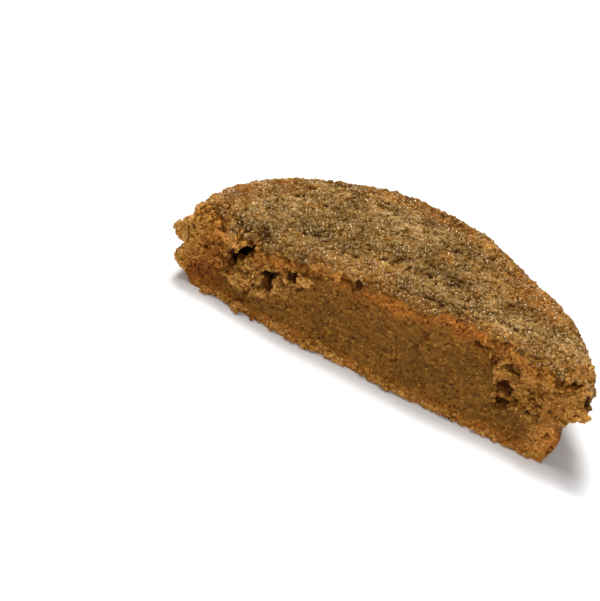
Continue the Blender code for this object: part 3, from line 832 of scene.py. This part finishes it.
def crust_lift(points):
    """How far the sugared crust stands out, its height from 0 to 1, which gives painted light and
    shade, and each clump's own tone.

    Domes over clumps of three sizes on a slow swell, higher by 0.7 of themselves on the lip and
    by half along the cut, and never far above the top.
    """
    bent = points + 0.6 * strays(points, 1.4, 31)
    large, large_own = knobs(bent, 2.6, 51, 0.55, 0.70)
    middle, middle_own = knobs(bent, 1.3, 63, 0.35, 0.45)
    small, small_own = knobs(bent, 0.6, 73, 0.30, 0.30)
    cut, rim, under = depths(points)[:3]
    on_lip = smooth(5.0, 2.0, rim) * smooth(15.5, 14.0, points[..., 2])
    at_cut = smooth(4.5, 2.0, cut) * smooth(0.6, 2.0, under)
    clump = (large + middle + small) * (1.0 + np.maximum(0.7 * on_lip, 0.5 * at_cut))
    lift = 0.7 * clouds(points, 8.0, 81, 2) + 0.9 * on_lip * clouds(points, 4.0, 83, 2) + clump
    most = 1.3 - 0.5 * smooth(1.5, 0.5, under)
    lift = np.where(lift > 0.0, most * np.tanh(lift / most), lift)
    return lift, smooth(-0.9, 0.8, clump), mixed_tone(large_own, middle_own, small_own)


def shell_piece(name, low, high, step, thick, rise_of, lift_of):
    """Crumb or crust in a box: the smooth half's depth, more where its relief stands out.

    rise_of gives where the piece is there at all, and lift_of its relief; the hollows are cut
    out of it, and thick is how far its back lies under the smooth half's surface.
    """
    points = field_points(low, high, step)
    flat = points.reshape(-1, 3)
    whole = depths(flat)[3]
    near = (whole > -MOST_RELIEF) & (whole < thick + 0.6)
    close = flat[near]
    rise = rise_of(close)
    lift = lift_of(close)[0] * smooth(0.2, 1.0, rise) - smooth(0.4, 0.0, rise)
    lift = lift - hollow_depth(close)
    depth = np.full(len(flat), OUTSIDE)
    depth[near] = np.maximum(np.minimum(whole[near] + lift, thick - whole[near]), OUTSIDE)
    points, quads = closed_skin(depth.reshape(points.shape[:-1]), low, step, LOOSE_SCRAP)
    return finish_crumb(name, points, quads, lift_of, smooth(0.35, 0.95, torn_share(points)))


def finish_crumb(name, points, quads, lift_of, golden):
    """A piece of crumb or crust with its numbers painted on, in the baked material.

    golden is how golden the crumb is where it stands highest; right of the middle it is browner, and
    what stands out at the base is paler and more golden than the base itself.
    Painted light brightens the crumb at the base and at the right end, its height gives painted light
    and shade, and painted shade dims it under the left lip.
    Given back are the points, the faces, and how sugared and how deep each point is.
    """
    piece = new_piece(name, points, quads, NO_TRIANGLES, False)
    sugared, browned, frosted = tones(points)
    whole = depths(points)[3]
    height, own = lift_of(points)[1:]
    sugared = sugared * (1.0 - smooth(0.9, 1.8, whole))
    to_right = smooth(14.0, 20.0, points[:, 0]) * smooth(35.0, 32.0, points[:, 0]) * golden
    to_base = smooth(2.6, 1.2, points[:, 2]) * golden
    # the highest crumb is more golden: partly its own golden colour, partly painted light on its tops
    golden_crests = (0.1 + 0.9 * height) * golden * (1.0 - 0.45 * to_right)
    # painted light: brighter at the base, against the shade by the floor, and at the right end, which
    # faces away from the light
    raised = 0.45 * to_base + 0.75 * smooth(30.0, 34.0, points[:, 0]) * golden
    paint(piece, 'sugared', sugared)
    paint(piece, 'browned', np.maximum(browned, 0.40 * to_right) * (1.0 - 0.9 * to_base))
    paint(piece, 'frosted', frosted)
    paint(piece, 'golden', np.maximum(golden_crests, 0.8 * to_base))
    paint(piece, 'painted_gap_shade', painted_gap_shade_share(whole))
    paint(piece, 'height', height + raised - 0.45 * painted_shade_under_lip(points))
    paint(piece, 'clump', own)
    piece.data.materials.append(baked_half.data.materials[0])
    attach(piece, 'root')
    return points, quads, sugared, whole


def crag_rise(points):
    """Where the torn crumb is: torn and not sugared."""
    return torn_share(points) * (1.0 - smooth(0.4, 0.8, sugar_share(points)[1]))


def crust_rise(points):
    """Where the sugared crust is."""
    return sugar_share(points)[1]


def edge_piece(name, low, high):
    """The cut's jagged lower edge: a low ragged bead with a few larger lumps on it."""
    points = field_points(low, high, CRAG_STEP)
    flat = points.reshape(-1, 3)
    x, y, z = flat.T
    behind = y - cut_line(x, EDGE_LEVEL)
    bent = flat + 0.3 * strays(flat, 0.9, 181)
    ragged = knobs(bent, 0.9, 191, 0.7, 1.2)[0] + knobs(bent, 0.45, 193, 0.35, 0.5)[0]
    bead = 0.50 + ragged - np.hypot(behind - 0.25, 0.9 * (z - 0.45)) + 0.45 * clouds(flat, 2.6, 197, 1)
    for at_x, back, at_z, radius in EDGE_LUMPS:
        at_y = cut_line(at_x, EDGE_LEVEL) + back
        away = np.sqrt((x - at_x) ** 2 + (y - at_y) ** 2 + (1.15 * (z - at_z)) ** 2)
        bead = np.maximum(bead, radius - away + 0.6 * ragged)
    bead = np.minimum(bead, z - OFF_FLOOR)
    depth = np.clip(bead, OUTSIDE, -OUTSIDE).reshape(points.shape[:-1])
    points, quads = closed_skin(depth, low, CRAG_STEP, EDGE_SCRAP)
    return finish_crumb(name, points, quads, crag_lift, np.ones(len(points)))


CRUST = (CRUST_STEP, CRUST_DEPTH, crust_rise, crust_lift)
CRAGS = (CRAG_STEP, CRAG_DEPTH, crag_rise, crag_lift)
shells = [
    shell_piece('crust_left', (-40.5, -2.5, 6.5), (-12.5, 38.0, 20.0), *CRUST),
    shell_piece('crust_middle', (-13.0, -2.5, 6.5), (13.0, 41.5, 20.5), *CRUST),
    shell_piece('crust_right', (12.5, -2.5, 6.5), (40.5, 36.0, 20.5), *CRUST),
    shell_piece('crags_left', (-40.5, -2.6, 0.0), (-8.5, 8.4, 19.4), *CRAGS),
    shell_piece('crags_right', (14.5, -3.0, 0.0), (40.0, 8.4, 20.0), *CRAGS),
    edge_piece('lower_edge', (-31.0, -3.2, 0.0), (34.0, 2.2, 2.8)),
]

# ---------------------------------------------------------------------------------------
# Sugar and crumbs: coarse grains of baking sugar, tossed with ground cinnamon and strewn on
# the dough.  Some stayed clear, most took the cinnamon's dust, and those at the rim
# caramelised.  Small crumbs of the dough cling to the torn places and the lower edge.
# ---------------------------------------------------------------------------------------
BLOCK = np.array(list(np.ndindex(2, 2, 2))) - 0.5
BLOCK_FACES = np.array([[0, 1, 3, 2], [4, 6, 7, 5], [0, 4, 5, 1],
                        [2, 3, 7, 6], [0, 2, 6, 4], [1, 5, 7, 3]])
CORNER_STRAY = 0.28              # how far a grain's corners stray, as a share of its size
UNEVEN = (0.6, 1.2)              # shares of its size that a grain's three sides may have


def rounded_block():
    """A block of two by two faces a side, its 26 points drawn in towards a ball."""
    place = np.array(list(np.ndindex(3, 3, 3))) - 1.0
    outer = np.abs(place).max(axis=1) > 0.5
    number = (np.cumsum(outer) - 1).reshape(3, 3, 3)
    faces = []
    for axis in range(3):
        for end in (0, 2):
            side = np.take(number, end, axis=axis)
            around = (side[:-1, :-1], side[1:, :-1], side[1:, 1:], side[:-1, 1:])
            quads_here = np.stack(around, -1).reshape(-1, 4)
            turned_back = (end == 0) != (axis == 1)
            faces.append(quads_here[:, ::-1] if turned_back else quads_here)
    place = place[outer]
    length = np.linalg.norm(place, axis=1, keepdims=True)
    return 0.5 * place / length ** 0.5, np.concatenate(faces)


LUMP, LUMP_FACES = rounded_block()


def halved(quads):
    """Each quad as two triangles."""
    return np.concatenate([quads[:, [0, 1, 2]], quads[:, [0, 2, 3]]])


def low_on_lip(points):
    """How far down the side of the lip a place is, from 0 to 1."""
    return smooth(15.0, 13.5, points[:, 2])


# the ground that grains lie on, and how thickly they lie at each of its points: on the crust,
# on the lip's side and ends, on torn and on bare crumb, and along the lower edge
ground_points, ground_faces = [skin_points], [np.concatenate([halved(quads), fans])]
weights = {kind: [np.zeros(len(skin_points))] for kind in ('crust', 'lip', 'torn', 'edge')}
weights['bare'] = [with_poles((1.0 - sugared) * off_base * (1.0 - hidden) * (1.0 - foot))]
for points, part_quads, part_sugared, whole in shells:
    ground_faces.append(sum(len(part) for part in ground_points) + halved(part_quads))
    ground_points.append(points)
    shown = smooth(1.6, 0.8, whole)
    ends = smooth(32.0, 34.0, np.abs(points[:, 0])) * (1.0 - part_sugared)
    along_edge = smooth(3.2, 1.6, points[:, 2]) * smooth(2.0, 1.0, points[:, 1])
    weights['crust'].append(part_sugared * shown)
    weights['lip'].append(np.maximum(ends, part_sugared * low_on_lip(points)) * shown)
    weights['torn'].append((1.0 - part_sugared) * shown)
    weights['bare'].append(0.3 * (1.0 - part_sugared) * shown)
    weights['edge'].append(along_edge * shown)
ground_points, ground_faces = np.concatenate(ground_points), np.concatenate(ground_faces)
weights = {kind: np.concatenate(parts) for kind, parts in weights.items()}
edge_a = ground_points[ground_faces[:, 1]] - ground_points[ground_faces[:, 0]]
edge_b = ground_points[ground_faces[:, 2]] - ground_points[ground_faces[:, 0]]
face_cross = np.cross(edge_a, edge_b)
face_area = 0.5 * np.linalg.norm(face_cross, axis=-1)
face_out = face_cross / np.maximum(2.0 * face_area[:, None], 1e-9)


def strewn_places(weight, count, apart, seed):
    """Places on the surface drawn by area times weight, one kept for each cube of side apart."""
    draw = np.random.default_rng(seed)
    share = face_area * np.maximum(weight[ground_faces].mean(axis=1), 0.0)
    share = share / share.sum()
    face = draw.choice(len(share), size=count * 3, p=share)
    first, second = draw.random(count * 3), draw.random(count * 3)
    over = first + second > 1.0
    first, second = np.where(over, 1.0 - first, first), np.where(over, 1.0 - second, second)
    place = ground_points[ground_faces[face, 0]] + first[:, None] * edge_a[face]
    place = place + second[:, None] * edge_b[face]
    cube = np.floor(place / apart).astype(np.int64)
    key = cube[:, 0] * 1000003 + cube[:, 1] * 1009 + cube[:, 2]
    kept = np.sort(np.unique(key, return_index=True)[1])[:count]
    return place[kept], face_out[face[kept]], draw


def turned_any_way(count, draw):
    """Rotation matrices from random unit quaternions."""
    q = draw.normal(size=(count, 4))
    q = q / np.linalg.norm(q, axis=1, keepdims=True)
    w, i, j, k = q.T
    return np.stack([
        np.stack([1 - 2 * (j * j + k * k), 2 * (i * j - w * k), 2 * (i * k + w * j)], -1),
        np.stack([2 * (i * j + w * k), 1 - 2 * (i * i + k * k), 2 * (j * k - w * i)], -1),
        np.stack([2 * (i * k - w * j), 2 * (j * k + w * i), 1 - 2 * (i * i + j * j)], -1)], 1)


def strewn_piece(name, shape, shape_faces, places, outs, sizes, sunk, draw):
    """Small shapes with flat faces, each turned any way, corners strayed, sunk by its size."""
    count, corners = len(places), len(shape)
    strayed = 1.0 + draw.uniform(-CORNER_STRAY, CORNER_STRAY, (count, corners, 3))
    points = shape * strayed * sizes[:, None, :]
    points = np.einsum('nij,nkj->nki', turned_any_way(count, draw), points)
    centre = places - outs * (sunk * sizes.mean(axis=1))[:, None]
    points = points + centre[:, None, :]
    points[..., 2] = np.maximum(points[..., 2], OFF_FLOOR)
    faces = ((np.arange(count) * corners)[:, None, None] + shape_faces[None]).reshape(-1, 4)
    return new_piece(name, points.reshape(-1, 3), faces, NO_TRIANGLES, False)


GRAIN_TINT = (1.0, 0.80, 0.54)   # the warm tint of the light that grains and crumbs throw back
GRAIN_SOAK = 0.8 * MM            # how far light soaks into them


def sugar_material(name, lift, rough, gloss, warm, at_lip=False):
    """Grains in the crust's own tones, lifted towards a warm one all over or at the lip alone."""
    m = Mixer(name)
    tone = m.crust_tone(m.attribute('own'))
    tone = m.mix(m.sum(m.attribute('golden'), lift, 'MULTIPLY') if at_lip else lift, tone, warm)
    return m.finish(tone, rough, gloss, GRAIN_TINT, 0.25, (1.0, 0.6, 0.3), GRAIN_SOAK)


def crumb_material(name):
    """Crumbs from dark brown to pale gold by their own numbers, redder where the dough browned."""
    m = Mixer(name)
    own = m.blend(m.attribute('own'), 0.75, m.noise(1900.0, 3.0, 0.7))
    pale = m.ramp(own, (0.25, (0.130, 0.046, 0.004)), (0.52, (0.290, 0.126, 0.015)),
                  (0.85, (0.600, 0.320, 0.080)))
    brown = m.ramp(own, (0.25, (0.150, 0.042, 0.003)), (0.52, (0.340, 0.120, 0.011)),
                   (0.85, (0.620, 0.300, 0.065)))
    return m.finish(m.mix(m.attribute('browned'), pale, brown), 0.6, 0.16, GRAIN_TINT,
                    0.2, (1.0, 0.5, 0.2), GRAIN_SOAK)


caramel_weight = 0.05 * weights['crust'] + weights['lip'] + 0.10 * weights['torn']
lump_weight = weights['torn'] + 0.6 * weights['edge']
crumb_weight = lump_weight + 0.07 * weights['bare']

# each kind's name, how thickly it lies, its sizes in mm, the share of its size that it is sunk
# by, how far apart its grains keep, the seed of its draws, its count and its material
kinds = (
    ('sugar_clear', weights['crust'], (0.25, 0.70), 0.25, 0.33, 301, 9000,
     sugar_material('sugar_clear', 0.22, 0.12, 1.0, (0.42, 0.29, 0.12))),
    ('sugar_cinnamon', weights['crust'], (0.28, 0.75), 0.25, 0.33, 302, 13000,
     sugar_material('sugar_cinnamon', 0.0, 0.45, 0.12, (0.2, 0.1, 0.03))),
    ('sugar_caramel', caramel_weight, (0.28, 0.60), 0.25, 0.33, 303, 7500,
     sugar_material('sugar_caramel', 0.65, 0.2, 0.35, (0.57, 0.248, 0.038), True)),
    ('crumbs', crumb_weight, (0.16, 0.45), 0.35, 0.30, 304, 8000, crumb_material('crumbs')),
    ('lumps', lump_weight, (0.45, 1.05), 0.60, 0.75, 305, 900, crumb_material('lumps')),
)
for name, weight, sizes_of, sunk, apart, seed, count, material in kinds:
    of_dough = name in ('crumbs', 'lumps')
    shape, shape_faces = (LUMP, LUMP_FACES) if name == 'lumps' else (BLOCK, BLOCK_FACES)
    places, outs, draw = strewn_places(weight, count, apart, seed)
    sizes = draw.uniform(*sizes_of, (len(places), 1)) * draw.uniform(*UNEVEN, (len(places), 3))
    grains = strewn_piece(name, shape, shape_faces, places, outs, sizes, sunk, draw)
    # each grain's tone: higher on the relief is lighter, painted light and shade; grains are also
    # lighter at the right end, and crumbs near the base
    height, tone = (crag_lift if of_dough else crust_lift)(places)[1:]
    stray, darker = (0.48, 0.13) if of_dough else (0.58, 0.08)
    tone = stray * draw.random(len(places)) + 0.30 * tone + 0.35 * height - darker
    tone = tone + 0.20 * smooth(31.5, 34.5, places[:, 0])
    tone = tone + 0.20 * of_dough * smooth(2.4, 1.0, places[:, 2])
    grain_sugared, grain_browned, grain_frosted = tones(places)
    at_lip = np.maximum(1.0 - grain_sugared, low_on_lip(places))
    for label, values in (('own', tone), ('golden', at_lip),
                          ('browned', grain_browned), ('frosted', grain_frosted)):
        paint(grains, label, np.repeat(values, len(shape)))
    grains.data.materials.append(material)
    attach(grains, 'root')

# ---------------------------------------------------------------------------------------
# The table, the light and the camera: a white sheet under a large soft light, seen from
# above the cut and a little to its right, with the camera rolled.
# ---------------------------------------------------------------------------------------
HALF_FLOOR = 3.0                 # in metres
FLOOR_PALE = (0.84, 0.84, 0.84, 1.0)
SKY_STRENGTH = 0.32
LIT_POINT = Vector((0.0, 0.0, 0.01))     # the middle of the half, in metres

floor_mesh = bpy.data.meshes.new('floor')
floor_mesh.from_pydata([(x * HALF_FLOOR, y * HALF_FLOOR, 0) for x, y in
                        ((-1, -1), (1, -1), (1, 1), (-1, 1))], [], [(0, 1, 2, 3)])
floor = bpy.data.objects.new('floor', floor_mesh)
bpy.context.scene.collection.objects.link(floor)
paper = Mixer('pale_floor')
paper.shader.inputs['Base Color'].default_value = FLOOR_PALE
paper.shader.inputs['Roughness'].default_value = 0.9
floor.data.materials.append(paper.material)

world = bpy.data.worlds.new('studio')
world.use_nodes = True
sky = world.node_tree.nodes['Background']
sky.inputs['Color'].default_value = (1.0, 1.0, 1.0, 1.0)
sky.inputs['Strength'].default_value = SKY_STRENGTH
bpy.context.scene.world = world


def soft_light(name, place, size, watts):
    """A square light that looks at the middle of the half."""
    lamp = bpy.data.lights.new(name, 'AREA')
    lamp.size = size
    lamp.energy = watts
    lit = bpy.data.objects.new(name, lamp)
    lit.location = place
    lit.rotation_euler = (Vector(place) - LIT_POINT).to_track_quat('Z', 'Y').to_euler()
    bpy.context.scene.collection.objects.link(lit)


soft_light('overhead', (-0.18, 0.00, 0.68), 0.35, 2.4)
soft_light('front', (0.14, -0.70, 0.35), 0.5, 1.9)
soft_light('glint', (-0.20, 0.16, 0.62), 0.20, 3.6)

CAMERA_FROM = (28.9, -243.6, 157.4)      # in mm from the turning axis, at the base
CAMERA_AZIMUTH = math.radians(9.91)
CAMERA_ELEVATION = math.radians(31.20)
CAMERA_ROLL = math.radians(21.18)
FOCAL_LENGTH, SENSOR_WIDTH = 103.5, 36.0     # in mm
camera_data = bpy.data.cameras.new('camera')
camera_data.sensor_fit = 'HORIZONTAL'
camera_data.sensor_width = SENSOR_WIDTH
camera_data.lens = FOCAL_LENGTH
camera_data.clip_start = 0.01
camera = bpy.data.objects.new('camera', camera_data)
camera.location = tuple((place + shift) * MM for place, shift in zip(CAMERA_FROM, (*AXIS, 0.0)))
tipped = Matrix.Rotation(math.pi / 2 - CAMERA_ELEVATION, 4, 'X')
aim = Matrix.Rotation(CAMERA_AZIMUTH, 4, 'Z') @ tipped @ Matrix.Rotation(CAMERA_ROLL, 4, 'Z')
camera.rotation_euler = aim.to_euler()
bpy.context.scene.collection.objects.link(camera)
bpy.context.scene.camera = camera
bpy.context.scene.view_settings.view_transform = 'Standard'
